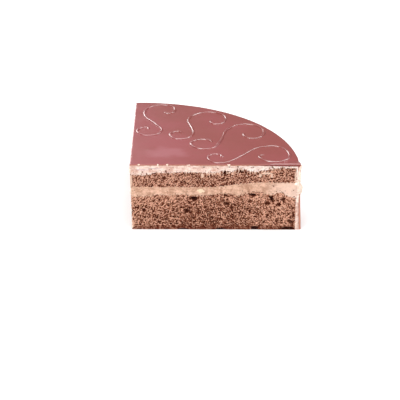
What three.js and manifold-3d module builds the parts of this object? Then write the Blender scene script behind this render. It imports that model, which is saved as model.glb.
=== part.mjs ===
// A slice of Sacher torte, close to a quarter of a 22 cm torte, standing on its base.
// From the bottom up: a deep chocolate sponge, a cream filling, a thin sponge lid, a coat of cream that
// covers the lid and runs down the round side, and over the coat a poured milk chocolate glaze, on which S
// scrolls are piped.
// Millimetres and degrees. The torte's centre is the slice's tip: the front cut runs from it along +X, the
// side curves round to the back cut, and +Z is up.
import * as THREE from "three";
import { mergeVertices } from "three/addons/utils/BufferGeometryUtils.js";
import Module from "manifold-3d";

const wasm = await Module();
wasm.setup();

// Driving dimensions.
const TORTE_RADIUS = 112; // outside of the glaze, at the foot
const DRAFT = 2; // how far the side leans in between the foot and the rim
const HEIGHT = 47.3; // to the flat of the glaze
const SLICE_ANGLE = 92;
const GLAZE = 1.3; // thickness of the glaze on the side
const SPONGE_RADIUS = 107.5;
const GAP = 0.3; // between pieces that lie on each other
const FOOT = 0.4; // the glaze ends this far over the floor
const LAP = 0.1; // how far a wall on the side reaches into the sheet on top, or stays under its upper face
const RIM_ROUNDING = 0.9; // of the glaze
const BEAD_RADIUS = 0.85; // of a piped scroll
const BEAD_SUNK = 0.1; // how far a scroll's centre lies under the glaze

// Borders between the layers, as [distance from the tip, height]. The sponges rise outwards, and the cream
// over them thins.
const BASE_TOP = [[0, 24.3], [18, 25.4], [50, 25.2], [80, 26.9], [98, 27.2], [107.5, 23.2]];
const LID_BOTTOM = [[0, 31.3], [50, 31.2], [78, 34.1], [98, 34.7], [107.5, 34.1]];
const LID_TOP = [[0, 40.1], [18, 41.4], [55, 41.1], [75, 42.6], [95, 43.9], [107.5, 44.2]];
const COAT_TOP = [[0, 46], [85, 46], [107.5, 45.4]];
const SWELL = 0.5; // how far a border waves up and down away from the front cut
const SWELL_LENGTH = 34;

// Fineness of the solids.
const CUT_STEPS = 42; // along a cut
const SIDE_STEPS = 23; // round the side, four degrees each
const CAP_INSET = 0.12; // where a layer's hidden faces turn smooth
const CAP_MIDDLE = 0.42 * SPONGE_RADIUS; // x and y of the point that they close on
const CRUMB_DEPTH = 0.5; // of the sponge's torn surface
const CRUMB_SEED = 20;
const CRUMB_ROWS = 9; // up the deep sponge

const radians = THREE.MathUtils.degToRad;
const sliceAngle = radians(SLICE_ANGLE);

// The outer radius of the glaze at a height.
const sideRadius = (z) => TORTE_RADIUS - (DRAFT * z) / HEIGHT;

// A border's height anywhere in the slice, eased from knot to knot, with a swell that dies out at the
// front cut.
function border(knots, swellHeight = SWELL) {
  return (x, y) => {
    const distance = Math.hypot(x, y);
    const next = Math.max(1, knots.findIndex(([d]) => d >= distance));
    const beyond = distance > knots.at(-1)[0];
    const [[d0, z0], [d1, z1]] = beyond ? knots.slice(-2) : knots.slice(next - 1, next + 1);
    const level = z0 + (z1 - z0) * THREE.MathUtils.smoothstep(distance, d0, d1);
    const turn = Math.max(0, Math.atan2(y, x)) / sliceAngle;
    const swell = swellHeight * Math.sin((2 * Math.PI * distance) / SWELL_LENGTH + 3 * turn);
    return level + swell * turn * THREE.MathUtils.smoothstep(distance, 0, SWELL_LENGTH);
  };
}

const baseTop = border(BASE_TOP);
const lidBottom = border(LID_BOTTOM);
const lidTop = border(LID_TOP);
const coatTop = border(COAT_TOP, 0);
const raised = (height, by) => (x, y) => height(x, y) + by;

// Triangles to a geometry with shared vertices; those that close up at the tip are dropped.
function closedGeometry(points, faces) {
  const flat = faces.flatMap((face) => face.flatMap((i) => points[i].toArray()));
  const loose = new THREE.BufferGeometry();
  loose.setAttribute("position", new THREE.Float32BufferAttribute(flat, 3));
  const merged = mergeVertices(loose, 1e-3);
  const kept = [];
  for (let i = 0; i < merged.index.count; i += 3) {
    const corners = [0, 1, 2].map((k) => merged.index.getX(i + k));
    if (new Set(corners).size === 3) kept.push(...corners);
  }
  merged.setIndex(kept);
  return merged;
}

function toSolid(geometry) {
  const bare = geometry.clone();
  bare.deleteAttribute("normal");
  bare.deleteAttribute("uv");
  const merged = mergeVertices(bare, 1e-3);
  return new wasm.Manifold(
    new wasm.Mesh({
      numProp: 3,
      vertProperties: new Float32Array(merged.attributes.position.array),
      triVerts: new Uint32Array(merged.index.array),
    }),
  );
}

function toGeometry(solid) {
  const mesh = solid.getMesh();
  const geometry = new THREE.BufferGeometry();
  geometry.setAttribute("position", new THREE.Float32BufferAttribute(mesh.vertProperties, 3));
  geometry.setIndex(new THREE.BufferAttribute(mesh.triVerts, 1));
  geometry.computeVertexNormals();
  return geometry;
}

// Points round the slice at a radius: out along the front cut, round the side, and back along the back cut.
// Each has the direction it faces on a cut, which is none at the tip, at the corners and on the side.
function outline(radius) {
  const points = [];
  const add = (x, y, facing) => points.push({ x, y, facing });
  const back = { x: Math.cos(sliceAngle), y: Math.sin(sliceAngle) };
  add(0, 0, null);
  for (let i = 1; i < CUT_STEPS; i++) add((radius * i) / CUT_STEPS, 0, { x: 0, y: -1 });
  for (let i = 0; i <= SIDE_STEPS; i++) {
    const angle = (sliceAngle * i) / SIDE_STEPS;
    add(radius * Math.cos(angle), radius * Math.sin(angle), null);
  }
  for (let i = CUT_STEPS - 1; i > 0; i--) {
    const out = (radius * i) / CUT_STEPS;
    add(out * back.x, out * back.y, { x: -back.y, y: back.x });
  }
  return points;
}

// A layer of the slice: rings from its lower edge to its upper one, each with a radius and a height, and a
// lower and upper face that turn smooth inside the edge and close on one point. dent gives how deep a cut's
// surface lies at a point of it.
function layer(rings, dent = () => 0) {
  const points = [];
  const addRing = ({ radius, height }, inset, depth) => {
    for (const { x, y, facing } of outline(radius)) {
      const sunk = facing && depth ? depth() : 0;
      const px = x + (CAP_MIDDLE - x) * inset - (sunk ? facing.x * sunk : 0);
      const py = y + (CAP_MIDDLE - y) * inset - (sunk ? facing.y * sunk : 0);
      points.push(new THREE.Vector3(px, py, height(px, py)));
    }
  };
  const low = rings[0];
  const high = rings.at(-1);
  addRing({ radius: SPONGE_RADIUS, height: low.height }, CAP_INSET);
  rings.forEach((ring) => addRing(ring, 0, ring === low || ring === high ? null : dent));
  addRing({ radius: SPONGE_RADIUS, height: high.height }, CAP_INSET);
  const count = outline(SPONGE_RADIUS).length;
  const faces = [];
  // The first row's quads split the other way, so that two layers' faces match where they lie on each other.
  for (let row = 0; row < rings.length + 1; row++) {
    for (let i = 0; i < count; i++) {
      const [a, b] = [row * count + i, row * count + ((i + 1) % count)];
      if (row > 0) faces.push([a, b, b + count], [a, b + count, a + count]);
      else faces.push([a, b, a + count], [b, b + count, a + count]);
    }
  }
  const pole = ({ height }) => new THREE.Vector3(CAP_MIDDLE, CAP_MIDDLE, height(CAP_MIDDLE, CAP_MIDDLE));
  const lowPole = points.push(pole(low)) - 1;
  const highPole = points.push(pole(high)) - 1;
  const top = (rings.length + 1) * count;
  for (let i = 0; i < count; i++) {
    const next = (i + 1) % count;
    faces.push([lowPole, next, i], [highPole, top + i, top + next]);
  }
  return closedGeometry(points, faces);
}

// Rings between two borders at one radius.
function evenRings(radius, bottom, top, steps) {
  return Array.from({ length: steps + 1 }, (_, i) => ({
    radius,
    height: (x, y) => bottom(x, y) + ((top(x, y) - bottom(x, y)) * i) / steps,
  }));
}

// A coat on the round side: a section of [radius, height] corners carried round the slice.
function sideWall(section) {
  const points = [];
  const faces = [];
  const count = section.length;
  for (let i = 0; i <= SIDE_STEPS; i++) {
    const [cos, sin] = [Math.cos((sliceAngle * i) / SIDE_STEPS), Math.sin((sliceAngle * i) / SIDE_STEPS)];
    for (const [r, z] of section) points.push(new THREE.Vector3(r * cos, r * sin, z));
  }
  for (let i = 0; i < SIDE_STEPS; i++) {
    for (let k = 0; k < count; k++) {
      const [a, b] = [i * count + k, i * count + ((k + 1) % count)];
      faces.push([a, b + count, b], [a, a + count, b + count]);
    }
  }
  const corners = section.map(([r, z]) => new THREE.Vector2(r, z));
  const last = SIDE_STEPS * count;
  for (const [a, b, c] of THREE.ShapeUtils.triangulateShape(corners, [])) {
    faces.push([a, b, c], [last + a, last + c, last + b]);
  }
  return closedGeometry(points, faces);
}

// An egg shape with its half sizes.
function blob(x, y, z, halfX, halfY, halfZ, tilt = 0) {
  const sphere = new THREE.SphereGeometry(1, 8, 6);
  sphere.scale(halfX, halfY, halfZ);
  sphere.rotateY(radians(tilt));
  sphere.translate(x, y, z);
  return toSolid(sphere);
}

// A seeded source of numbers from 0 to 1.
function seeded(seed) {
  let state = seed;
  return () => {
    state = (Math.imul(state, 1664525) + 1013904223) >>> 0;
    return state / 2 ** 32;
  };
}

// Burst bubbles in the crumb, as [distance, height, their width, their height, tilt], on the front cut. Those
// on the back cut are drawn at random.
const FRONT_BUBBLES = [
  [8.5, 14.5, 2, 2.4, 0], [37, 14, 3.2, 2.2, 0], [41.5, 23, 4.2, 2.8, 0], [62, 25.4, 2.6, 1.6, 0],
  [63, 19.2, 3.4, 1.8, 20], [66, 16, 1.8, 3, 0], [78, 20.6, 3.4, 1.8, 0], [80, 25.4, 5, 1.8, 0],
  [89.5, 19.6, 3.6, 2, 0], [92.3, 22.7, 1.9, 4.4, -28], [97, 18.6, 2.4, 2.2, 0], [99.6, 22.3, 2.6, 2.8, 30],
];
const FOOT_GAPS = [[34, 0, 8, 1.4], [59, 0, 7, 2], [81.6, 0.9, 5.4, 3], [103, 0.9, 10, 1.7]];
const BUBBLE_DEPTH = 1.6;
const BACK_BUBBLES = 11;

function pierced(sponge, chance) {
  let solid = toSolid(sponge);
  for (const [x, z, width, height, tilt] of FRONT_BUBBLES) {
    solid = solid.subtract(blob(x, 0, z, width / 2, BUBBLE_DEPTH, height / 2, tilt));
  }
  for (const [x, z, width, height] of FOOT_GAPS) {
    solid = solid.subtract(blob(x, 0, z, width / 2, 1.5 * BUBBLE_DEPTH, height / 2));
  }
  for (let i = 0; i < BACK_BUBBLES; i++) {
    const out = SPONGE_RADIUS * (0.08 + 0.86 * chance());
    const size = 1 + 1.2 * chance();
    const z = 4 + 17 * chance();
    const [x, y] = [out * Math.cos(sliceAngle), out * Math.sin(sliceAngle)];
    solid = solid.subtract(blob(x, y, z, BUBBLE_DEPTH, size, 0.7 * size));
  }
  return toGeometry(solid);
}

// The two sponges, with a torn crumb on the cuts.
const chance = seeded(CRUMB_SEED);
const crumb = () => CRUMB_DEPTH * chance();
const base = pierced(layer(evenRings(SPONGE_RADIUS, () => 0, baseTop, CRUMB_ROWS), crumb), chance);
const lid = layer(evenRings(SPONGE_RADIUS, raised(lidBottom, GAP), lidTop, 4), crumb);

// The filling between them.
const filling = layer(evenRings(SPONGE_RADIUS, raised(baseTop, GAP), lidBottom, 2));

// The cream coat: a sheet over the lid, joined to a wall on the side. The knife dragged cream out at the
// front corner, in a lump level with the filling and a smear above it that hides the end of the glaze.
const coatRadius = (z) => sideRadius(z) - GLAZE - GAP;
const RIM = COAT_TOP.at(-1)[1]; // where the sheet meets the wall
const coatSheet = layer(evenRings(coatRadius(RIM), raised(lidTop, GAP), coatTop, 1));
const coatWall = sideWall([
  [SPONGE_RADIUS + GAP, 0],
  [coatRadius(0), 0],
  [coatRadius(RIM), RIM - LAP],
  [SPONGE_RADIUS + GAP, RIM - LAP],
]);
// Each as [x, y, z, half its size along x, along y, along z].
const SMEARS = [[110.4, 1, 29.2, 2.4, 1.8, 5.6], [109.7, 0.6, 38, 1.2, 1.3, 7.4]];

function smears(extra) {
  const lumps = SMEARS.map(([x, y, z, ...halves]) => blob(x, y, z, ...halves.map((half) => half + extra)));
  return lumps[0].add(lumps[1]);
}

const inside = toSolid(base).add(toSolid(filling)).add(toSolid(lid));
const coat = toGeometry(toSolid(coatSheet).add(toSolid(coatWall)).add(smears(0).subtract(inside)));

// The scrolls, each piped in one stroke: its start, its heading there, and its arcs, as [length, degrees
// turned].
const SCROLLS = [
  {
    start: [18, 90], heading: -62,
    arcs: [
      [7, 116], [23.5, 141], [13.5, 60], [19.5, 49], [18, -6], [23.5, -152], [15.5, -122], [6.5, -170],
    ],
  },
  {
    start: [32, 51.5], heading: 89,
    arcs: [
      [8, 135], [21, 171], [13, 64], [15.5, 8], [23.5, -80], [12.5, -60], [22, -100], [13.5, -173],
    ],
  },
  {
    start: [53, 36.5], heading: 110,
    arcs: [
      [24, 188], [10.5, 60], [9.5, 69], [20.5, 16], [15.5, -32], [18, -89], [22.5, -88], [18.5, -168],
    ],
  },
  {
    start: [59.5, 11.5], heading: 73,
    arcs: [
      [12.5, 167], [23, 165], [21.5, 11], [17, -50], [10, -62], [11, -30], [29.5, -164], [5.5, -120],
    ],
  },
];
const ARC_STEPS = 8; // points on an arc
const BEAD_STEP = 2.3; // length of a facet

// The path of a scroll's middle line, lying in the glaze.
function stroke({ start: [x, y], heading, arcs }) {
  const pen = new THREE.Vector3(x, y, HEIGHT - BEAD_SUNK);
  const path = [pen.clone()];
  let angle = radians(heading);
  for (const [length, turned] of arcs) {
    const bend = radians(turned) / ARC_STEPS;
    const chord = length / ARC_STEPS;
    for (let i = 0; i < ARC_STEPS; i++) {
      pen.x += chord * Math.cos(angle + bend / 2);
      pen.y += chord * Math.sin(angle + bend / 2);
      path.push(pen.clone());
      angle += bend;
    }
  }
  return new THREE.CatmullRomCurve3(path, false, "centripetal");
}

function bead(scroll) {
  const path = stroke(scroll);
  const section = new THREE.Shape();
  section.absarc(0, 0, BEAD_RADIUS, 0, 2 * Math.PI);
  const steps = Math.round(path.getLength() / BEAD_STEP);
  const tube = new THREE.ExtrudeGeometry(section, { steps, curveSegments: 4, extrudePath: path });
  const tips = [path.getPoint(0), path.getPoint(1)];
  const balls = tips.map(({ x, y, z }) => blob(x, y, z, BEAD_RADIUS, BEAD_RADIUS, BEAD_RADIUS));
  return toSolid(tube).add(balls[0]).add(balls[1]);
}

// The glaze: a sheet with a rounded rim over the coat, joined to a wall on the side, with the scrolls on it.
const rim = sideRadius(HEIGHT);
const glazeSheet = layer([
  { radius: rim, height: raised(coatTop, GAP) },
  { radius: rim, height: () => HEIGHT - RIM_ROUNDING },
  { radius: rim - 0.3 * RIM_ROUNDING, height: () => HEIGHT - 0.3 * RIM_ROUNDING },
  { radius: rim - RIM_ROUNDING, height: () => HEIGHT },
]);
const wallTop = RIM + GAP + LAP;
const glazeWall = sideWall([
  [sideRadius(FOOT) - GLAZE, FOOT],
  [sideRadius(FOOT), FOOT],
  [sideRadius(wallTop), wallTop],
  [sideRadius(wallTop) - GLAZE, wallTop],
]);
let glazeSolid = toSolid(glazeSheet).add(toSolid(glazeWall));
for (const scroll of SCROLLS) glazeSolid = glazeSolid.add(bead(scroll));
const glaze = toGeometry(glazeSolid.subtract(smears(GAP)));

// One mesh for each piece, with its own finish.
const torte = new THREE.Group();
function piece(name, geometry, color, roughness) {
  const material = new THREE.MeshStandardMaterial({ color, roughness, metalness: 0 });
  const mesh = new THREE.Mesh(geometry, material);
  mesh.name = name;
  torte.add(mesh);
}
piece("sponge_base", base, 0x9b6856, 0.95);
piece("cream_filling", filling, 0xe4b99d, 0.6);
piece("sponge_lid", lid, 0xa2705c, 0.95);
piece("cream_coat", coat, 0xeed0be, 0.55);
piece("glaze", glaze, 0xb06c69, 0.25);

// The origin is under the middle of the slice's box, on the surface that it stands on.
const middle = new THREE.Box3().setFromObject(torte).getCenter(new THREE.Vector3());
torte.position.set(-middle.x, -middle.y, 0);
const slice = new THREE.Group();
slice.add(torte);

export default slice;
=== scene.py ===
import math
import random

import bpy
from mathutils import Matrix, Vector


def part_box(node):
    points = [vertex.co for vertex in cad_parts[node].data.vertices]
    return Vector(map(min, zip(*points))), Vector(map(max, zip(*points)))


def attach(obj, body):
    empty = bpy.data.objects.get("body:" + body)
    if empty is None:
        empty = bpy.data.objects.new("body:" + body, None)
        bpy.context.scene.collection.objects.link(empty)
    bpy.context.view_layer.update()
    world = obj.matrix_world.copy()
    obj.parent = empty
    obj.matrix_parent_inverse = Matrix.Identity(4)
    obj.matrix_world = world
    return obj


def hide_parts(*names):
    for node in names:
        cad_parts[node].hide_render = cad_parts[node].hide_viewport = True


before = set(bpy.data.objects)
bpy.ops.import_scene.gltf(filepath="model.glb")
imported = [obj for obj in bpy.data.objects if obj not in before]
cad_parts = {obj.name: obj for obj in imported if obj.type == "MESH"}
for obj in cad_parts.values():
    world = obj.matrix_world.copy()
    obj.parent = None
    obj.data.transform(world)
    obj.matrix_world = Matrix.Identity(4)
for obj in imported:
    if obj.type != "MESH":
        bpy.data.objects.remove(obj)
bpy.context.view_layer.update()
bpy.ops.object.select_all(action="DESELECT")


# The slice's tip is the torte's centre. The front cut runs from the tip along X, the back cut is turned
# from it by the slice's angle, and the round side joins them. It stands on a pale floor, in the soft
# light of four lamps and a pale studio that is brighter on the left.
SLICE_ANGLE = math.radians(92)
SPONGE_RADIUS = 107.5
sponge_low, sponge_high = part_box("sponge_base")
TIP = Vector((sponge_high.x - SPONGE_RADIUS / 1000, sponge_low.y, 0))

CAMERA_FROM_TIP = Vector((0.059, -0.5974, 0.3236))
CAMERA_TURN = math.radians(1.31)
CAMERA_DOWN = math.radians(26.79)
CAMERA_ROLL = math.radians(-0.48)
CAMERA_LENS = 92.03
bpy.ops.object.camera_add()
camera = bpy.context.object
camera.matrix_world = (
    Matrix.Translation(TIP + CAMERA_FROM_TIP)
    @ Matrix.Rotation(CAMERA_TURN, 4, "Z")
    @ Matrix.Rotation(math.pi / 2 - CAMERA_DOWN, 4, "X")
    @ Matrix.Rotation(CAMERA_ROLL, 4, "Z")
)
camera.data.sensor_width = 36
camera.data.lens = CAMERA_LENS
bpy.context.scene.camera = camera
bpy.context.scene.view_settings.view_transform = "Standard"

FLOOR_SIZE = 8
bpy.ops.mesh.primitive_plane_add(size=FLOOR_SIZE)
floor = bpy.context.object
floor.name = "floor"
paint = bpy.data.materials.new("pale_floor")
paint.use_nodes = True
paint.node_tree.nodes["Principled BSDF"].inputs["Base Color"].default_value = (0.9, 0.9, 0.9, 1)
paint.node_tree.nodes["Principled BSDF"].inputs["Roughness"].default_value = 0.7
floor.data.materials.append(paint)


class Flow:
    """An output in a tree of nodes, of a material, a shape or the world. Its operators add Math nodes."""

    def __init__(self, tree, output):
        self.tree = tree
        self.output = output

    def node(self, kind, inputs=(), output=0, points=(), **settings):
        """Adds a node with its settings, the points of its curve, and values or links for its inputs."""
        node = self.tree.nodes.new(kind)
        for name, value in settings.items():
            setattr(node, name, value)
        if points:
            curve = node.mapping.curves[0].points
            for x, y in points[1:-1]:
                curve.new(x, y)
            curve[0].location, curve[-1].location = points[0], points[-1]
            node.mapping.update()
        for name, value in dict(inputs).items():
            if isinstance(value, Flow):
                self.tree.links.new(value.output, node.inputs[name])
            else:
                node.inputs[name].default_value = value
        return Flow(self.tree, node.outputs[output])

    def math(self, operation, *others):
        return self.node("ShaderNodeMath", enumerate((self, *others)), operation=operation)

    def __add__(self, other):
        return self.math("ADD", other)

    def __sub__(self, other):
        return self.math("SUBTRACT", other)

    def __rsub__(self, other):
        return (self * -1).math("ADD", other)

    def __mul__(self, other):
        return self.math("MULTIPLY", other)

    def __truediv__(self, other):
        return self.math("DIVIDE", other)

    def __pow__(self, other):
        return self.math("POWER", other)

    __radd__ = __add__
    __rmul__ = __mul__

    def fade(self, start, end):
        """0 at start and 1 at end, with a soft step between them."""
        inputs = {"Value": self, "From Min": start, "From Max": end}
        return self.node("ShaderNodeMapRange", inputs, interpolation_type="SMOOTHSTEP")

    def part(self, axis):
        return self.node("ShaderNodeSeparateXYZ", {0: self}, axis)

    def vector(self, operation, other, output=0):
        name = "Scale" if operation == "SCALE" else 1
        return self.node("ShaderNodeVectorMath", {0: self, name: other}, output, operation=operation)

    def from_tip(self):
        """A place as millimetres from the slice's tip."""
        return self.vector("SUBTRACT", TIP).vector("SCALE", 1000)

    def noise(self, size, detail=2.0, stretch=(1, 1, 1)):
        """A cloudy pattern of a size in millimetres, from 0 to 1 about 0.5."""
        place = self.vector("MULTIPLY", stretch)
        return place.node("ShaderNodeTexNoise", {"Vector": place, "Scale": 1 / size, "Detail": detail})

    def cells(self, size, output="Distance"):
        """How far the next of some scattered points is, in units of the size that they are apart."""
        return self.node("ShaderNodeTexVoronoi", {"Vector": self, "Scale": 1 / size}, output)

    def blend(self, dark, light):
        """A colour between two, by this number."""
        return self.node("ShaderNodeMix", {0: self, 6: dark, 7: light}, 2, data_type="RGBA")


STUDIO_LIGHT, LEFT_LIGHT = 0.21, 0.28
world = bpy.data.worlds.new("studio")
world.use_nodes = True
sky = world.node_tree.nodes["Background"]
sky.inputs["Color"].default_value = (1, 1, 1, 1)
way = Flow(world.node_tree, None).node("ShaderNodeTexCoord", output="Generated")
brighter = way.part("X").fade(0.17, -0.08) * way.part("Z").fade(0.32, 0.45)
strength = brighter * LEFT_LIGHT + STUDIO_LIGHT
world.node_tree.links.new(strength.output, sky.inputs["Strength"])
bpy.context.scene.world = world


def softbox(place, width, depth, power):
    """A flat lamp that faces the slice."""
    bpy.ops.object.light_add(type="AREA", location=place)
    lamp = bpy.context.object
    lamp.rotation_euler = Vector(place).to_track_quat("Z", "Y").to_euler()
    lamp.data.shape = "RECTANGLE"
    lamp.data.size, lamp.data.size_y = width, depth
    lamp.data.energy = power


softbox((-0.7, -0.9, 0.9), 0.7, 0.7, 8)
softbox((0, -0.31, 1.3), 1.6, 0.8, 17)
softbox((0.85, 0.45, 1.1), 0.8, 0.7, 9)
softbox((-0.5, 1.15, 0.62), 0.4, 0.5, 4)


# The deep lower sponge: a baked chocolate crumb, full of burst bubbles, cut by the knife on two sides
# and lying on its crust. It is a grid of the front cut, spun round the tip, set under its border and
# torn by shape nodes. The sponges and the filling reach a little way under the coat, to LAYER_RADIUS.
LAYER_RADIUS = SPONGE_RADIUS + 0.8
BASE_HIGH, FILLING_HIGH, LID_HIGH = 25, 33, 42
CRUMB_CELL, TEAR_DEPTH = 0.36, 0.75
SIDE_STEPS = 24
KNOTS_WIDE, KNOTS_HIGH = 120, 60
SWELL_LENGTH, WANDER, RAGGED = 34, 1.6, 5.4


def xyz(x, y, z):
    """A place of three numbers, the first of them a flow."""
    return x.node("ShaderNodeCombineXYZ", {0: x, 1: y, 2: z})


def rounded(place):
    """A place's distance from the tip, and its turn from the front cut, from 0 to 1."""
    x, y = place.part("X"), place.part("Y")
    distance = place.vector("MULTIPLY", (1, 1, 0)).vector("LENGTH", (0, 0, 0), "Value")
    return distance, y.math("ARCTAN2", x).math("MAXIMUM", 0.0) / SLICE_ANGLE


def border(place, knots, uneven=1.0):
    """The height of a border between layers over a place. It follows its knots of [distance from the tip,
    height] at the front cut, swells away from them towards the back cut, and is ragged all along."""
    distance, turn = rounded(place)
    points = [(d / KNOTS_WIDE, z / KNOTS_HIGH) for d, z in knots]
    along = {"Value": distance / KNOTS_WIDE}
    level = distance.node("ShaderNodeFloatCurve", along, points=points) * KNOTS_HIGH
    flat = place.vector("MULTIPLY", (1, 1, 0))
    swell = (distance * (2 * math.pi / SWELL_LENGTH) + turn * 3).math("SINE") * 0.5
    swell = swell * distance.fade(0, SWELL_LENGTH)
    wander = (flat.noise(9) - 0.5) * WANDER
    ragged = (flat.noise(1.3, 3) - 0.5) * RAGGED
    return level + ((swell + wander) * turn + ragged) * uneven


def cuts(place):
    """1 on the front cut and 1 on the back cut, else 0."""
    x, y = place.part("X"), place.part("Y")
    back = x * math.sin(SLICE_ANGLE) - y * math.cos(SLICE_ANGLE)
    return y.math("LESS_THAN", 0.01), back.math("LESS_THAN", 0.01)


def inward(place):
    """The way into the slice from the cut that a place is on."""
    front, back = cuts(place)
    return xyz(back * math.sin(SLICE_ANGLE), front - back * math.cos(SLICE_ANGLE), 0)


def shape(piece, build):
    """Runs a piece through shape nodes and applies them. build takes and gives a flow of geometry."""
    tree = bpy.data.node_groups.new(piece.name + "_shape", "GeometryNodeTree")
    tree.interface.new_socket("Geometry", in_out="INPUT", socket_type="NodeSocketGeometry")
    tree.interface.new_socket("Geometry", in_out="OUTPUT", socket_type="NodeSocketGeometry")
    shaped = build(Flow(tree, tree.nodes.new("NodeGroupInput").outputs[0]))
    tree.links.new(shaped.output, tree.nodes.new("NodeGroupOutput").inputs[0])
    piece.modifiers.new("shape", "NODES").node_group = tree
    bpy.context.view_layer.objects.active = piece
    bpy.ops.object.modifier_apply(modifier="shape")


def pick(piece, kind, chosen):
    """Selects the faces or edges of a piece that a rule takes, and no others, and enters edit mode."""
    bpy.context.tool_settings.mesh_select_mode = (False, kind == "edges", kind == "polygons")
    for part in ("vertices", "edges", "polygons"):
        getattr(piece.data, part).foreach_set("select", [False] * len(getattr(piece.data, part)))
    for item in getattr(piece.data, kind):
        item.select = chosen(item)
    bpy.ops.object.mode_set(mode="EDIT")


def wedge(name, radius, low, high, cell, left_out=None):
    """A block of the slice, in millimetres: a grid of cells on the front cut, spun round the tip. left_out
    is a rule for faces of the grid that the block does without."""
    middle = TIP + Vector((radius / 2, 0, (low + high) / 2)) / 1000
    columns, rows = round(radius / cell), round((high - low) / cell)
    bpy.ops.mesh.primitive_grid_add(x_subdivisions=columns, y_subdivisions=rows, size=1, location=middle)
    piece = bpy.context.object
    piece.name = name
    piece.rotation_euler.x = math.pi / 2
    piece.scale = (radius / 1000, (high - low) / 1000, 1)
    bpy.ops.object.transform_apply(location=True, rotation=True, scale=True)
    if left_out:
        pick(piece, "polygons", left_out)
        bpy.ops.mesh.delete(type="FACE")
    bpy.ops.object.mode_set(mode="EDIT")
    bpy.ops.mesh.select_all(action="SELECT")
    bpy.ops.mesh.spin(steps=SIDE_STEPS, angle=-SLICE_ANGLE, center=TIP, axis=(0, 0, 1))
    bpy.ops.mesh.select_all(action="SELECT")
    bpy.ops.mesh.remove_doubles(threshold=1e-6)
    bpy.ops.mesh.normals_make_consistent(inside=False)
    bpy.ops.object.mode_set(mode="OBJECT")
    bpy.ops.object.shade_smooth()
    return piece


def serve(piece, node):
    """Puts a finished piece in its CAD node's place on the slice."""
    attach(piece, "root")
    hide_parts(node)


# Burst bubbles, as [distance from the tip, height, width, height of the bubble, tilt in degrees, depth].
# Those of the front cut are the large ones that show, and those of the back cut lie by chance.
# A bubble's depth also sets how dark its painted shade is, up to nearly black.
FRONT_BUBBLES = [
    (8.5, 14.5, 2, 2.4, 0, 0.7), (37, 14, 3.2, 2.2, 0, 0.75), (41.5, 23, 4.4, 2.8, 0, 1),
    (62, 25.4, 2.6, 1.6, 0, 0.7), (63, 19.2, 3.6, 1.8, 20, 0.75), (66, 16, 1.8, 3.4, 0, 0.65),
    (78, 20.6, 3.4, 2, 0, 0.65), (80, 25.6, 5, 1.6, 0, 0.9), (89.5, 19.6, 3.8, 2.2, 0, 0.7),
    (92.3, 22.7, 2, 4.4, -28, 1), (97, 18.6, 2.8, 2.4, 0, 0.6), (99.6, 22.3, 2.6, 2.8, 30, 0.75),
    (34, 0, 8, 1.4, 0, 0.9), (59, 0, 7, 2, 0, 1), (81.6, 0.9, 5.4, 3, 0, 1), (103, 0.9, 10, 1.7, 0, 1),
    (105.8, 4.4, 2.6, 4, 0, 0.7), (106.4, 11, 1.4, 5, 0, 0.65), (62, 42, 3, 2.5, 0, 0.75),
    (72, 42.6, 3, 2, 0, 0.7), (22, 37.5, 3, 2.4, 0, 0.7), (30, 35, 2, 1.8, 0, 0.65),
]
chance = random.Random(20)
BACK_BUBBLES = [
    (chance.uniform(8, 103), chance.uniform(2, 42), chance.uniform(2, 4.2), chance.uniform(1.6, 3), 0, 0.8)
    for _ in range(26)
]


def bubbles(place, listed):
    """How deep the listed bubbles are at a place, and 0 outside them."""
    distance, _ = rounded(place)
    z = place.part("Z")
    wobble = (place.noise(1.1, 3) - 0.5) * 2.6
    found = 0.0
    for middle, height, wide, high, tilt, deep in listed:
        cos, sin = math.cos(math.radians(tilt)), math.sin(math.radians(tilt))
        along, up = distance - middle, z - height
        across = (along * cos - up * sin) * (2 / wide)
        over = (along * sin + up * cos) * (2 / high)
        found = ((across * across + over * over + wobble).fade(1.5, 0.5) * deep).math("MAXIMUM", found)
    return found


def pores(place, size, share):
    """Round holes of many sizes, up to a size in millimetres, in a share of the places for them."""
    picked = place.cells(size, "Color").part("X")
    return place.cells(size).fade(0.62, 0.22) * picked.fade(1 - share, 1.15 - share)


def torn(place):
    """How deep the crumb is torn at a place on a cut, from 0 at the knife's plane to about 1."""
    bent = place.vector("ADD", place.node("ShaderNodeTexNoise", {"Vector": place, "Scale": 0.8}, "Color"))
    grain = (0.62 - place.noise(0.78, 2)) * 2.2
    holes = (pores(bent, 1.1, 0.4) * 0.5).math("MAXIMUM", pores(bent, 2.1, 0.07) * 0.8)
    front, back = cuts(place)
    large = bubbles(place, FRONT_BUBBLES) * front
    large = large.math("MAXIMUM", bubbles(place, BACK_BUBBLES) * back)
    return (grain + holes).math("MAXIMUM", large * 1.7)


def crumby(place, knots, reach, stretch=(1, 1, 1)):
    """1 where crumb shows and 0 where cream does, mixed over a reach to either side of a border."""
    beyond = (place.part("Z") - border(place, knots)) / reach
    return (place.noise(1, 3, stretch) - beyond * 0.13).fade(0.47, 0.53)


def keep(geometry, name, value):
    """Stores a number on each point of a piece, for its material."""
    inputs = {"Geometry": geometry, "Name": name, "Value": value}
    return geometry.node("GeometryNodeStoreNamedAttribute", inputs, data_type="FLOAT", domain="POINT")


def settle(geometry, place):
    """Moves each point of a piece to a place in millimetres from the tip."""
    settled = place.vector("SCALE", 0.001).vector("ADD", TIP)
    return geometry.node("GeometryNodeSetPosition", {"Geometry": geometry, "Position": settled})


def between(place, low, high, bottom, top):
    """A place in a block from low to high, moved to lie alike between two borders."""
    floor_z, roof_z = bottom(place), top(place)
    z = floor_z + (roof_z - floor_z) * ((place.part("Z") - low) / (high - low))
    return xyz(place.part("X"), place.part("Y"), z)


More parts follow.
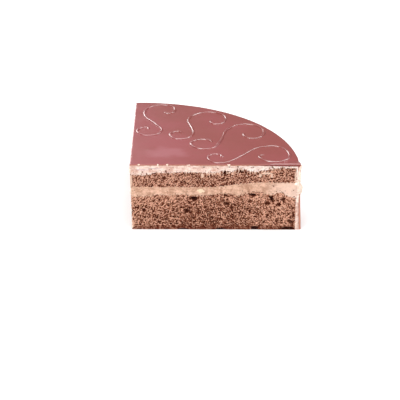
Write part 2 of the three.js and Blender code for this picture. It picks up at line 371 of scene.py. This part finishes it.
def crumb_shape(low, high, bottom, top, smears):
    """Shape nodes that set a block between two borders and tear its cuts, except where cream is smeared."""

    def build(block):
        place = block.node("GeometryNodeInputPosition").from_tip()
        front, back = cuts(place)
        risen = between(place, low, high, bottom, top)
        smeared = smears(risen)
        depth = torn(risen) * front.math("MAXIMUM", back) * (1 - smeared * 0.85)
        block = keep(keep(block, "torn", depth), "smeared", smeared)
        off_floor = place.part("Z").fade(-0.5, 1.5)
        sunk = inward(place).vector("SCALE", depth.math("MAXIMUM", 0.0) * off_floor * TEAR_DEPTH)
        return settle(block, risen.vector("ADD", sunk))

    return build


def crumb_finish(name, dark, middle, light, foot, cream):
    """A chocolate crumb: painted shade in its pores, lighter between them, redder at foot, pale with cream.
    """
    material = bpy.data.materials.new(name)
    material.use_nodes = True
    shader = material.node_tree.nodes["Principled BSDF"]
    start = Flow(material.node_tree, None)
    place = start.node("ShaderNodeTexCoord", output="Object").from_tip()
    depth = start.node("ShaderNodeAttribute", output="Fac", attribute_name="torn")
    smeared = start.node("ShaderNodeAttribute", output="Fac", attribute_name="smeared")
    distance, _ = rounded(place)
    z = place.part("Z")
    patchy = (place.noise(7) - 0.5) * 0.6 + (place.noise(2.2) - 0.5) * 1.8
    # The speckle is the crumb's own grain, and also painted shade in its pores and painted light on their
    # walls.
    speckle = (place.noise(0.8) - 0.5) * 4.3 + (place.noise(0.5) - 0.5) * 2.2
    near_side = distance.fade(60, 105) * z.fade(38, 26) * 0.2
    near_tip = distance.fade(45, 5) * 0.06 + distance.fade(6, 0) * 0.22
    middle_cut = distance.fade(25, 45) * distance.fade(85, 65) * 0.07
    lighter = near_side + near_tip - middle_cut + z.fade(14, 24) * 0.18
    # Painted shade: the deeper the cut is torn, the darker the crumb.
    shade = depth.fade(0.8, -0.1) + speckle + patchy + lighter
    colour = shade.fade(0, 0.6).blend(dark, middle)
    colour = shade.fade(0.55, 1.2).blend(colour, light)
    low = (z + (place.noise(3) - 0.5) * 2).fade(3.6, 1.6)
    colour = (low * 0.6).blend(colour, foot)
    # Painted shade: the deepest hollows, the large bubbles and the gaps at the foot turn nearly black.
    colour = (depth.fade(1, 1.6) * 0.9).blend(colour, srgb(44, 10, 6))
    colour = (smeared + (place.noise(0.8) - 0.5) * smeared).fade(0.2, 0.8).blend(colour, cream)
    material.node_tree.links.new(colour.output, shader.inputs["Base Color"])
    pitted = start.node("ShaderNodeBump", {"Strength": 0.7, "Distance": 0.0004, "Height": shade}, "Normal")
    material.node_tree.links.new(pitted.output, shader.inputs["Normal"])
    shader.inputs["Roughness"].default_value = 0.9
    shader.inputs["Specular IOR Level"].default_value = 0.12
    return material


def srgb(red, green, blue):
    """A colour as a material takes it, from its 0 to 255 values on a screen."""
    lit = [((v / 255 + 0.055) / 1.055) ** 2.4 for v in (red, green, blue)]
    return (*lit, 1)


def dabs(place, listed):
    """1 inside listed ragged spots on the front cut, and 0 outside them. A spot is listed as [distance from
    the tip, height, width, height of the spot]."""
    distance, _ = rounded(place)
    ragged = (place.noise(1.1, 3) - 0.5) * 2.2
    found = 0.0
    for middle, height, wide, high in listed:
        across, over = (distance - middle) * (2 / wide), (place.part("Z") - height) * (2 / high)
        found = (across * across + over * over + ragged).fade(1.3, 0.7).math("MAXIMUM", found)
    return found * place.part("Y").fade(8, 4)


BASE_TOP = [
    (0, 24.4), (12, 24.5), (18, 25.6), (25, 25.1), (34, 25.9), (40, 25), (50, 25.1), (60, 26.5), (65, 26.4),
    (70, 25), (78, 27.4), (82, 27.4), (88, 26.5), (92, 25.6), (97, 27.4), (99, 27.2), (103, 24.4),
    (120, 22.9),
]
LOW_DABS = [(6.5, 13, 2, 1.6), (0.6, 4, 2, 6), (83, 17, 2.4, 1.4), (98, 16, 1.8, 1.6), (25, 20, 1.6, 1.2)]
lower_sponge = wedge("lower_sponge", LAYER_RADIUS, 0, BASE_HIGH, CRUMB_CELL)
shape(
    lower_sponge,
    crumb_shape(
        0,
        BASE_HIGH,
        lambda place: place.part("Z") * 0,
        lambda place: border(place, BASE_TOP),
        lambda place: (1 - crumby(place, BASE_TOP, 0.9)).math("MAXIMUM", dabs(place, LOW_DABS)),
    ),
)
lower_sponge.data.materials.append(
    crumb_finish(
        "lower_crumb", srgb(62, 18, 4), srgb(144, 82, 57), srgb(236, 180, 153), srgb(100, 36, 16),
        srgb(226, 178, 152),
    )
)
serve(lower_sponge, "sponge_base")


# The cream filling: a pale milk cream, spread between the sponges and dragged along both cuts by the
# knife, with crumbs caught in it. It fills the space between the sponges' ragged faces.
CREAM_CELL, DRAG_DEPTH = 0.45, 0.35
LID_BOTTOM = [
    (0, 31.3), (40, 31.2), (55, 31.4), (60, 32), (67, 33), (75, 33.7), (82, 34.5), (95, 34.5), (120, 34),
]


def dragged(place):
    """How deep the knife has drawn a cream's cut, from 0 to about 1: streaks along it, and a few holes."""
    distance, _ = rounded(place)
    along = xyz(distance * 0.22, place.part("Y") * 0.05, place.part("Z"))
    streaks = along.noise(1.6, 3).fade(0.35, 0.75)
    return streaks * 0.5 + pores(place, 2.2, 0.12) * 0.9 + place.noise(5).fade(0.4, 0.8) * 0.4


def cream_shape(low, high, bottom, top):
    """Shape nodes that set a block of cream between two borders and draw a knife over its cuts."""

    def build(block):
        place = block.node("GeometryNodeInputPosition").from_tip()
        front, back = cuts(place)
        risen = between(place, low, high, bottom, top)
        depth = dragged(risen) * front.math("MAXIMUM", back)
        sunk = inward(place).vector("SCALE", depth * DRAG_DEPTH)
        return settle(keep(block, "dragged", depth), risen.vector("ADD", sunk))

    return build


def cream_finish(name, dark, light, crumb, marks=()):
    """A milk cream: streaked by the knife, with painted shade where it drew deeper, and specks of crumb in
    it.
    Each mark is a colour, and a rule that gives for a place how much of it shows."""
    material = bpy.data.materials.new(name)
    material.use_nodes = True
    shader = material.node_tree.nodes["Principled BSDF"]
    start = Flow(material.node_tree, None)
    place = start.node("ShaderNodeTexCoord", output="Object").from_tip()
    depth = start.node("ShaderNodeAttribute", output="Fac", attribute_name="dragged")
    drawn = place.noise(1.1, 3, (0.35, 0.35, 1))
    # Painted shade: the cream is darker where the knife drew its cut deeper.
    shade = place.noise(7, 3) + (place.noise(1.2, 3) - 0.5) * 0.9 + (drawn - 0.5) * 0.7 - depth * 0.5
    colour = shade.fade(0.0, 0.7).blend(dark, light)
    for paint, where in marks:
        colour = where(place).blend(colour, paint)
    speck = place.cells(2.6).fade(0.16, 0.08) * place.cells(2.6, "Color").part("X").fade(0.7, 0.75)
    colour = (speck * 0.8).blend(colour, crumb)
    material.node_tree.links.new(colour.output, shader.inputs["Base Color"])
    shader.inputs["Roughness"].default_value = 0.5
    shader.inputs["Specular IOR Level"].default_value = 0.35
    shader.inputs["Subsurface Weight"].default_value = 0.12
    shader.inputs["Subsurface Radius"].default_value = (1, 0.6, 0.4)
    shader.inputs["Subsurface Scale"].default_value = 0.002
    return material


def above_filling(place):
    """How far the filling's top lies above a place."""
    return border(place, LID_BOTTOM) - place.part("Z")


filling = wedge("filling", LAYER_RADIUS, BASE_HIGH, FILLING_HIGH, CREAM_CELL)
shape(
    filling,
    cream_shape(
        BASE_HIGH,
        FILLING_HIGH,
        lambda place: border(place, BASE_TOP),
        lambda place: border(place, LID_BOTTOM),
    ),
)
filling.data.materials.append(
    cream_finish(
        "filling_cream", srgb(180, 132, 106), srgb(230, 188, 163), srgb(120, 66, 48),
        [
            (srgb(240, 208, 191), lambda place: rounded(place)[0].fade(84, 106) * 0.7),
            (srgb(248, 226, 194), lambda place: dabs(place, [(46, 28.4, 4.6, 3)]) * 0.75),
            (srgb(126, 74, 54), lambda place: crumby(place, BASE_TOP, 0.9) * 0.85),
            (srgb(206, 160, 136), lambda place: above_filling(place).fade(1.2, 0) * 0.5),
        ],
    )
)
serve(filling, "cream_filling")


# The thin upper sponge: the same crumb as the lower one, a little redder, laid on the filling and
# pressed. Its block is made in the same way. The knife has dragged veils of cream down over it.
LID_TOP = [
    (0, 40.1), (12, 40.2), (17, 41.5), (25, 41.2), (38, 41.8), (45, 41.6), (51, 41.4), (57, 41.8), (62, 43),
    (66, 42.2), (72, 44.2), (77, 42.6), (80, 42.2), (86, 43), (93, 44.3), (120, 44.6),
]
HIGH_DABS = [
    (0.4, 36, 2, 10), (47, 39.6, 2, 3), (84.4, 39.6, 1.7, 3), (88.4, 41.1, 7, 1.5), (92, 39.4, 1.6, 3),
    (107.3, 38, 1, 9),
]


def veils(place):
    """Cream drawn down over the crumb's upper edge, in streaks."""
    distance, _ = rounded(place)
    reach = distance.fade(44, 54) * distance.fade(96, 84) * 2 + 0.9
    drawn = crumby(place, LID_TOP, reach, (1, 1, 0.4))
    return (1 - drawn).math("MAXIMUM", dabs(place, HIGH_DABS))


upper_sponge = wedge("upper_sponge", LAYER_RADIUS, FILLING_HIGH, LID_HIGH, CRUMB_CELL)
shape(
    upper_sponge,
    crumb_shape(
        FILLING_HIGH,
        LID_HIGH,
        lambda place: border(place, LID_BOTTOM),
        lambda place: border(place, LID_TOP),
        veils,
    ),
)
upper_sponge.data.materials.append(
    crumb_finish(
        "upper_crumb", srgb(60, 16, 4), srgb(128, 66, 44), srgb(230, 174, 148), srgb(100, 36, 16),
        srgb(235, 198, 176),
    )
)
serve(upper_sponge, "sponge_lid")


# The cream coat: the same cream, whiter on top, spread over the upper sponge and down the round side.
# Its section is an L, a sheet with a wall, so the grid is cut to that before it is spun. Shape nodes then
# set it between the upper sponge and the glaze. GLAZE is the glaze's thickness.
FOOT_RADIUS, RIM_RADIUS, HEIGHT, GLAZE = 112, 110, 47.3, 1.3
COAT_TOP = [(0, 46.6), (60, 46.6), (85, 46.5), (100, 46.2), (120, 46)]
SHEET_FOOT, SHEET_HEAD, WALL = 39, 46, 108.7
COAT_CELL = 0.5
SHADED_DABS = [(8, 43.6, 9, 0.9), (16, 44.4, 8, 0.7)]


def side_radius(z):
    """The glaze's outer radius at a height, which may be a flow."""
    return FOOT_RADIUS + z * ((RIM_RADIUS - FOOT_RADIUS) / HEIGHT)


def coat_shape(block):
    """Shape nodes that spread the L between the sponge and the glaze, and draw the knife over its cuts."""
    place = block.node("GeometryNodeInputPosition").from_tip()
    front, back = cuts(place)
    distance, _ = rounded(place)
    under, over = border(place, LID_TOP), border(place, COAT_TOP, 0.2)
    below = (place.part("Z") / SHEET_FOOT).math("MINIMUM", 1.0)
    above = ((place.part("Z") - SHEET_FOOT) / (SHEET_HEAD - SHEET_FOOT)).math("MAXIMUM", 0.0)
    z = below * under + above * (over - under)
    wall = (distance - SPONGE_RADIUS).math("MAXIMUM", 0.0) / (WALL - SPONGE_RADIUS)
    widened = distance + wall * (side_radius(z) - GLAZE - WALL)
    grown = widened / distance.math("MAXIMUM", 0.001)
    risen = xyz(place.part("X") * grown, place.part("Y") * grown, z)
    depth = dragged(risen) * front.math("MAXIMUM", back)
    sunk = inward(place).vector("SCALE", depth * DRAG_DEPTH)
    return settle(keep(block, "dragged", depth), risen.vector("ADD", sunk))


def coat_section(face):
    """True where a face of the grid lies under the sheet and inside the wall."""
    return face.center.z < SHEET_FOOT / 1000 and face.center.x < TIP.x + SPONGE_RADIUS / 1000


cream_coat = wedge("cream_coat_piece", WALL, 0, SHEET_HEAD, COAT_CELL, coat_section)
shape(cream_coat, coat_shape)


def smudges(place):
    """Brown streaks just under the glaze, where the knife drew crumbs along the cream."""
    distance, _ = rounded(place)
    streaks = place.noise(0.8, 3, (0.25, 0.25, 1)).fade(0.5, 0.62)
    return streaks * place.part("Z").fade(43.8, 45.8) * distance.fade(44, 54) * distance.fade(106, 90) * 0.6


def whiter(place):
    """Cleaner cream in the sheet, towards the round side."""
    return rounded(place)[0].fade(55, 80) * place.part("Z").fade(38, 42) * 0.45


def strewn(place):
    """Crumbs caught in the cream where it lies on the sponge."""
    return crumby(place, LID_TOP, 1.1, (1, 1, 0.5)) * rounded(place)[0].fade(107, 106.4) * 0.85


cream_coat.data.materials.append(
    cream_finish(
        "coat_cream", srgb(206, 161, 144), srgb(247, 224, 212), srgb(120, 66, 48),
        [
            (srgb(255, 238, 230), whiter),
            (srgb(158, 108, 90), smudges),
            (srgb(196, 168, 178), lambda place: dabs(place, SHADED_DABS) * 0.6),
            (srgb(122, 70, 52), strewn),
        ],
    )
)
serve(cream_coat, "cream_coat")


# Smears of the same cream at the corners, where the knife drew it out over the end of the glaze, at the
# slice's point and along the top edge. They are balls of cream run together, listed as [place, half
# their size], in millimetres from the tip.
SMEAR_VOXEL = 0.00022
NEAREST, FARTHEST = (-9, -0.78, 0.05), (112.7, 200, 48)
CORNER_SMEARS = [
    (109.9, 0.9, 29.6, 2.2, 1.5, 4.4), (110.8, 0.8, 30.6, 1.5, 1.2, 1.8), (109.7, 0.5, 38.5, 1.1, 1.2, 7),
    (109.4, 0.5, 23.5, 0.9, 0.7, 4.5), (109.9, 0.6, 44.2, 0.9, 1.2, 2.2), (108.6, 0.3, 33.4, 2, 0.8, 1.4),
    (110.4, 0.6, 46, 0.9, 1, 0.9), (0.3, 0.3, 2, 0.4, 0.4, 1.4), (0.2, 0.3, 5, 0.4, 0.4, 1),
    (0.4, 0.3, 9, 0.4, 0.4, 1), (0.3, 0.3, 14, 0.4, 0.4, 1.2), (0.1, 0.3, 28, 0.5, 0.5, 2.8),
    (0.2, 0.3, 43.5, 0.5, 0.5, 2.4), (0.1, 0.3, 20, 0.4, 0.4, 0.9),
]
EDGE_SMEARS = [
    (6, 0.3, 47.1, 0.9, 0.5, 0.6), (18.4, 0.3, 47, 0.6, 0.5, 0.7), (24.4, 0.3, 47, 0.7, 0.5, 0.7),
    (38, 0.2, 46.9, 1.6, 0.4, 0.35), (64, 0.3, 46.9, 1.5, 0.5, 0.5), (0.4, 12, 46.9, 0.4, 1.8, 0.45),
    (-0.6, 31, 46.9, 0.4, 2.4, 0.5), (-1.6, 58, 46.9, 0.4, 1.6, 0.45), (-2.6, 84, 46.9, 0.4, 2.2, 0.5),
]
bpy.ops.object.select_all(action="DESELECT")
for number, (x, y, z, *half) in enumerate(CORNER_SMEARS + EDGE_SMEARS):
    if number == 1:
        bpy.ops.object.mode_set(mode="EDIT")
    middle = TIP + Vector((x, y, z)) / 1000
    size = Vector(half) / 1000
    bpy.ops.mesh.primitive_ico_sphere_add(subdivisions=3, radius=1, location=middle, scale=size)
bpy.ops.object.mode_set(mode="OBJECT")
smears = bpy.context.object
smears.name = "cream_smears"
bpy.ops.object.transform_apply(location=True, rotation=True, scale=True)
melt = smears.modifiers.new("melt", "REMESH")
melt.voxel_size = SMEAR_VOXEL
bpy.ops.object.modifier_apply(modifier="melt")
bpy.ops.object.shade_smooth()


def smear_shape(lumps):
    """Shape nodes that roughen the smears, within the slice's own size."""
    place = lumps.node("GeometryNodeInputPosition").from_tip()
    push = place.node("ShaderNodeTexNoise", {"Vector": place, "Scale": 0.9, "Detail": 3}, "Color")
    push = push.vector("SUBTRACT", (0.5, 0.5, 0.5)).vector("MULTIPLY", (1.2, 0.7, 1))
    moved = place.vector("ADD", push).vector("MAXIMUM", NEAREST).vector("MINIMUM", FARTHEST)
    return settle(keep(lumps, "dragged", place.noise(1.5) * 0.6), moved)


shape(smears, smear_shape)
smears.data.materials.append(
    cream_finish("smeared_cream", srgb(232, 200, 180), srgb(255, 240, 226), srgb(120, 66, 48))
)
serve(smears, "cream_coat")


# Crumbs that the knife pulled from the sponge and left on the cream, as [distance from the tip, height,
# size]. Each is a small flattened ball, turned its own way and torn by shape nodes. The first ones lie
# where they show on the front cut, and the rest by chance, a third of them on the back cut.
CRUMBS = [
    (8.3, 42, 0.5), (23.5, 42.5, 0.7), (25, 41.2, 0.5), (57, 44.6, 0.4), (48, 45.6, 0.4), (70, 45.8, 0.5),
    (106.3, 29, 0.45), (106.7, 24.5, 0.4), (93, 32, 0.5), (80, 45.7, 0.45), (92, 45.6, 0.5), (14, 44, 0.35),
]
CRUMBS_NEAREST = (-9, -0.75, 0.05)
LISTED_CRUMBS = len(CRUMBS)
CREAM_HEIGHTS = (28, 45)
for _ in range(26):
    distance = chance.uniform(2, 106)
    z = chance.choice(CREAM_HEIGHTS) + chance.uniform(-1.6, 1.2)
    CRUMBS.append((distance, z, chance.uniform(0.2, 0.4)))
bpy.ops.object.select_all(action="DESELECT")
for number, (distance, z, size) in enumerate(CRUMBS):
    if number == 1:
        bpy.ops.object.mode_set(mode="EDIT")
    on_back = number % 3 == 2 and number > LISTED_CRUMBS
    x, y = distance * math.cos(SLICE_ANGLE * on_back), distance * math.sin(SLICE_ANGLE * on_back)
    bpy.ops.mesh.primitive_ico_sphere_add(
        subdivisions=2, radius=size / 1000, location=TIP + Vector((x, y, z)) / 1000,
        rotation=(number, number * 2, 0), scale=(1, 0.8, 0.7),
    )
bpy.ops.object.mode_set(mode="OBJECT")
crumbs = bpy.context.object
crumbs.name = "loose_crumbs"
bpy.ops.object.transform_apply(location=True, rotation=True, scale=True)


def crumb_lumps(balls):
    """Shape nodes that tear the balls into crumbs."""
    place = balls.node("GeometryNodeInputPosition").from_tip()
    push = place.node("ShaderNodeTexNoise", {"Vector": place, "Scale": 2.2, "Detail": 2}, "Color")
    push = push.vector("SUBTRACT", (0.5, 0.5, 0.5)).vector("SCALE", 0.7)
    balls = keep(keep(balls, "torn", place.noise(0.5) * 0.8), "smeared", place.noise(3) * 0.2)
    return settle(balls, place.vector("ADD", push).vector("MAXIMUM", CRUMBS_NEAREST))


shape(crumbs, crumb_lumps)
crumbs.data.materials.append(
    crumb_finish(
        "loose_crumb", srgb(52, 22, 12), srgb(116, 66, 46), srgb(168, 112, 90), srgb(96, 42, 24),
        srgb(226, 178, 152),
    )
)
serve(crumbs, "sponge_lid")


# The glaze: milk chocolate poured over the coat, so that it lies flat, rounds off at the rim and runs
# down the side, with four S scrolls piped on while it was soft. A grid is cut to the slice and its edge
# drawn down. Each scroll has a start, a heading in degrees and arcs of [length, degrees turned].
ROUNDING, RUN_END = 0.9, 0.4
STROKE_STEP = 0.4
SCROLLS = [
    (
        (18, 90), -62,
        [(7, 116), (23.5, 141), (13.5, 60), (19.5, 49), (18, -6), (23.5, -152), (15.5, -122), (6.5, -170)],
    ),
    (
        (32, 51.5), 89,
        [(8, 135), (21, 171), (13, 64), (15.5, 8), (23.5, -80), (12.5, -60), (22, -100), (13.5, -173)],
    ),
    (
        (53, 36.5), 110,
        [(24, 188), (10.5, 60), (9.5, 69), (20.5, 16), (15.5, -32), (18, -89), (22.5, -88), (18.5, -168)],
    ),
    (
        (59.5, 11.5), 73,
        [(12.5, 167), (23, 165), (21.5, 11), (17, -50), (10, -62), (11, -30), (29.5, -164), (5.5, -120)],
    ),
]


def stroke(start, heading, arcs):
    """The middle line of a scroll, from its start along its arcs, in metres."""
    x, y = start
    heading = math.radians(heading)
    points = [(x, y)]
    for length, turned in arcs:
        steps = math.ceil(length / STROKE_STEP)
        for _ in range(steps):
            bend = math.radians(turned) / steps
            x += length / steps * math.cos(heading + bend / 2)
            y += length / steps * math.sin(heading + bend / 2)
            heading += bend
            points.append((x, y))
    return [TIP + Vector((x, y, HEIGHT)) / 1000 for x, y in points]


CELL, CELLS_LEFT, CELLS_WIDE, CELLS_DEEP = 0.9, 5, 128, 124
bpy.ops.mesh.primitive_grid_add(x_subdivisions=CELLS_WIDE, y_subdivisions=CELLS_DEEP, size=1)
glaze = bpy.context.object
glaze.name = "chocolate_glaze"
glaze.scale = (CELLS_WIDE * CELL / 1000, CELLS_DEEP * CELL / 1000, 1)
glaze.location = TIP + Vector(((CELLS_WIDE / 2 - CELLS_LEFT) * CELL, CELLS_DEEP / 2 * CELL, HEIGHT)) / 1000
bpy.ops.object.transform_apply(location=True, rotation=True, scale=True)

RIM_START = RIM_RADIUS - ROUNDING
ROUNDING_STEPS, WALL_ROWS = 4, 28


def beyond_rim(item):
    """True for a face or an edge of the glaze that lies outside the start of the rim's rounding."""
    spots = [glaze.data.vertices[v].co - TIP for v in item.vertices]
    return all(spot.to_2d().length * 1000 > RIM_START - 0.01 for spot in spots)


pick(glaze, "polygons", beyond_rim)
bpy.ops.mesh.delete(type="FACE")
bpy.ops.mesh.select_all(action="SELECT")
back_normal = (math.sin(SLICE_ANGLE), -math.cos(SLICE_ANGLE), 0)
bpy.ops.mesh.bisect(plane_co=TIP, plane_no=back_normal, clear_inner=True)
bpy.ops.object.mode_set(mode="OBJECT")


def trim(sheet):
    """Draws the grid's stepped outer edge in to the start of the rim's rounding."""
    place = sheet.node("GeometryNodeInputPosition").from_tip()
    distance, _ = rounded(place)
    drawn = distance.math("MAXIMUM", RIM_START) ** -1 * RIM_START
    return settle(sheet, place.vector("MULTIPLY", xyz(drawn, drawn, 1.0)))


shape(glaze, trim)
profile = [(RIM_START, HEIGHT)]
for step in range(1, ROUNDING_STEPS + 1):
    bend = math.radians(90 * step / ROUNDING_STEPS)
    profile.append((RIM_START + ROUNDING * math.sin(bend), HEIGHT - ROUNDING * (1 - math.cos(bend))))
wall_top = HEIGHT - ROUNDING
for row in range(1, WALL_ROWS + 1):
    z = wall_top + (RUN_END - wall_top) * row / WALL_ROWS
    profile.append((side_radius(z), z))
pick(glaze, "edges", beyond_rim)
for (radius, z), (next_radius, next_z) in zip(profile, profile[1:]):
    bpy.ops.mesh.extrude_edges_move(TRANSFORM_OT_translate={"value": (0, 0, (next_z - z) / 1000)})
    spread = next_radius / radius
    bpy.ops.transform.resize(value=(spread, spread, 1), center_override=TIP)
bpy.ops.mesh.select_all(action="SELECT")
bpy.ops.mesh.normals_make_consistent(inside=False)
bpy.ops.object.mode_set(mode="OBJECT")
shell = glaze.modifiers.new("shell", "SOLIDIFY")
shell.thickness = GLAZE / 1000
shell.offset = -1
bpy.ops.object.modifier_apply(modifier="shell")


DETAIL_WIDTH = 2.4


def needs_detail(face):
    """True for a face on top that lies along a cut."""
    spot = face.center - TIP
    on_top = face.normal.z > 0.9 and spot.z * 1000 > HEIGHT - 0.1
    back = spot.x * math.sin(SLICE_ANGLE) - spot.y * math.cos(SLICE_ANGLE)
    return on_top and min(spot.y, back) < DETAIL_WIDTH / 1000


pick(glaze, "polygons", needs_detail)
bpy.ops.mesh.subdivide(number_cuts=3)
bpy.ops.object.mode_set(mode="OBJECT")


SKIN_TOP, BEAD_TOP = 48.0, 48.04


def waves(place):
    """The slow rise and fall of the poured surface."""
    flat = place.vector("MULTIPLY", (1, 1, 0))
    return (flat.noise(22) - 0.5) * 0.3 + (flat.noise(8) - 0.5) * 0.08


def glaze_shape(skin):
    """Shape nodes that raise the lip, round the cut edges and make the skin uneven."""
    place = skin.node("GeometryNodeInputPosition").from_tip()
    distance, _ = rounded(place)
    x, y, z = place.part("X"), place.part("Y"), place.part("Z")
    top = z.fade(HEIGHT - 0.5, HEIGHT - 0.05)
    under = (z.fade(44, 45) * z.fade(46.5, 46.3)) * distance.fade(WALL, WALL - 0.6)
    outer = (distance - side_radius(z)).fade(-0.9, -0.5)
    back = x * math.sin(SLICE_ANGLE) - y * math.cos(SLICE_ANGLE)
    rounding = y.math("MINIMUM", back).fade(0.6, 0.0) ** 2 * 0.16
    rounding = rounding + x.fade(84, 94) * y.fade(1.5, 0.0) ** 2 * 0.4
    lip = x.fade(80, 96) * y.fade(6, 1.5) * 0.75
    corner = outer * x.fade(104, 109) * y.fade(5, 0.5) * z.fade(38, 46) * 0.9
    lift = top * (waves(place) - rounding + lip)
    lowered = under * (border(place, COAT_TOP, 0.2) - z - 0.05)
    run = (xyz(x, y, z * 0.12).noise(5, 3) - 0.5) * 0.8 + (place.noise(3) - 0.5) * 0.12
    swollen = 1 + (outer * (1 - top) * (run - 0.2) + corner) / distance.math("MAXIMUM", 1.0)
    front_cut, back_cut = cuts(place)
    skin = keep(skin, "skin", 1 - front_cut.math("MAXIMUM", back_cut))
    return settle(skin, xyz(x * swollen, y * swollen, (z + lift + lowered).math("MINIMUM", SKIN_TOP)))


shape(glaze, glaze_shape)

PIPE_RADIUS = 1.1
strokes = bpy.data.curves.new("piped_scrolls", "CURVE")
strokes.dimensions = "3D"
strokes.bevel_depth = PIPE_RADIUS / 1000
strokes.bevel_resolution = 4
strokes.use_fill_caps = True
for scroll in SCROLLS:
    path = stroke(*scroll)
    line = strokes.splines.new("POLY")
    line.points.add(len(path) - 1)
    for number, (point, spot) in enumerate(zip(line.points, path)):
        pressed = 0.92 + 0.1 * math.sin(number / 9) + 0.06 * math.sin(number / 3.7)
        to_end = min(number, len(path) - 1 - number)
        point.co = (*spot, 1)
        point.radius = pressed * min(1, 0.45 + to_end / 5)
scrolls = bpy.data.objects.new("piped_scrolls", strokes)
bpy.context.collection.objects.link(scrolls)
bpy.ops.object.select_all(action="DESELECT")
scrolls.select_set(True)
bpy.context.view_layer.objects.active = scrolls
bpy.ops.object.convert(target="MESH")


def bead_shape(pipes):
    """Shape nodes that settle the piped lines into the soft glaze, flat below and low on top."""
    place = pipes.node("GeometryNodeInputPosition").from_tip()
    flattened = ((place.part("Z") - HEIGHT) * 0.64).math("MAXIMUM", -0.3)
    z = flattened + HEIGHT + waves(place) - 0.05
    pipes = keep(pipes, "skin", place.noise(9) * 2.2 + 0.3)
    return settle(pipes, xyz(place.part("X"), place.part("Y"), z.math("MINIMUM", BEAD_TOP)))


shape(scrolls, bead_shape)
glaze.select_set(True)
bpy.context.view_layer.objects.active = glaze
bpy.ops.object.join()
bpy.ops.object.shade_smooth()


# Where the painted sheen on the glaze lies, in millimetres from the tip, and how far it spreads.
SHEEN_MIDDLE, SHEEN_SIZE = (24, 19, HEIGHT), (15, 10, 9)


def glaze_finish(name, dark, light, painted_sheen, side, cut, thick_cut, smeared_cut):
    """Set milk chocolate: mauve brown and glossy on top, with a paler sheen painted into its colour near
    the tip, and lighter and duller where it ran down the side. Its cut edge is pale at the tip, dark at the
    lip, and smeared with cream down the side."""
    material = bpy.data.materials.new(name)
    material.use_nodes = True
    shader = material.node_tree.nodes["Principled BSDF"]
    start = Flow(material.node_tree, None)
    place = start.node("ShaderNodeTexCoord", output="Object").from_tip()
    skin = start.node("ShaderNodeAttribute", output="Fac", attribute_name="skin")
    shade = place.noise(30, 3) + (place.noise(4, 4) - 0.5) * 0.3 - rounded(place)[0] * 0.0045 + 0.32
    colour = shade.fade(0.25, 0.75).blend(dark, light)
    # Painted sheen: a pale cloud blended into the colour near the tip stands in for a soft reflection.
    from_sheen = place.vector("SUBTRACT", SHEEN_MIDDLE).vector("DIVIDE", SHEEN_SIZE)
    away = from_sheen.vector("LENGTH", (0, 0, 0), "Value") + (place.noise(9) - 0.5) * 1.2
    colour = (away.fade(1.1, 0.3) * 0.15).blend(colour, painted_sheen)
    low = place.part("Z").fade(46.6, 44)
    drips = place.noise(9, 3, (1, 1, 0.08)).fade(0.35, 0.75)
    colour = low.blend(colour, (drips * 0.4).blend(side, dark))
    bare = (1 - skin).math("MAXIMUM", 0.0)
    edge = low.blend(place.part("X").fade(78, 92).blend(cut, thick_cut), smeared_cut)
    colour = (bare * 0.8).blend(colour, edge)
    material.node_tree.links.new(colour.output, shader.inputs["Base Color"])
    dull = low * 0.15 + place.noise(12, 4).fade(0.3, 0.7) * 0.08 + bare * 0.3 + 0.28
    material.node_tree.links.new(dull.output, shader.inputs["Roughness"])
    material.node_tree.links.new((skin * 0.5).output, shader.inputs["Coat Weight"])
    shader.inputs["Coat Roughness"].default_value = 0.2
    shader.inputs["Coat IOR"].default_value = 2.3
    return material


glaze.data.materials.append(
    glaze_finish(
        "milk_chocolate", srgb(133, 56, 50), srgb(143, 60, 63), srgb(205, 150, 160), srgb(162, 88, 74),
        srgb(186, 124, 98), srgb(128, 60, 52), srgb(196, 134, 112),
    )
)
serve(glaze, "glaze")
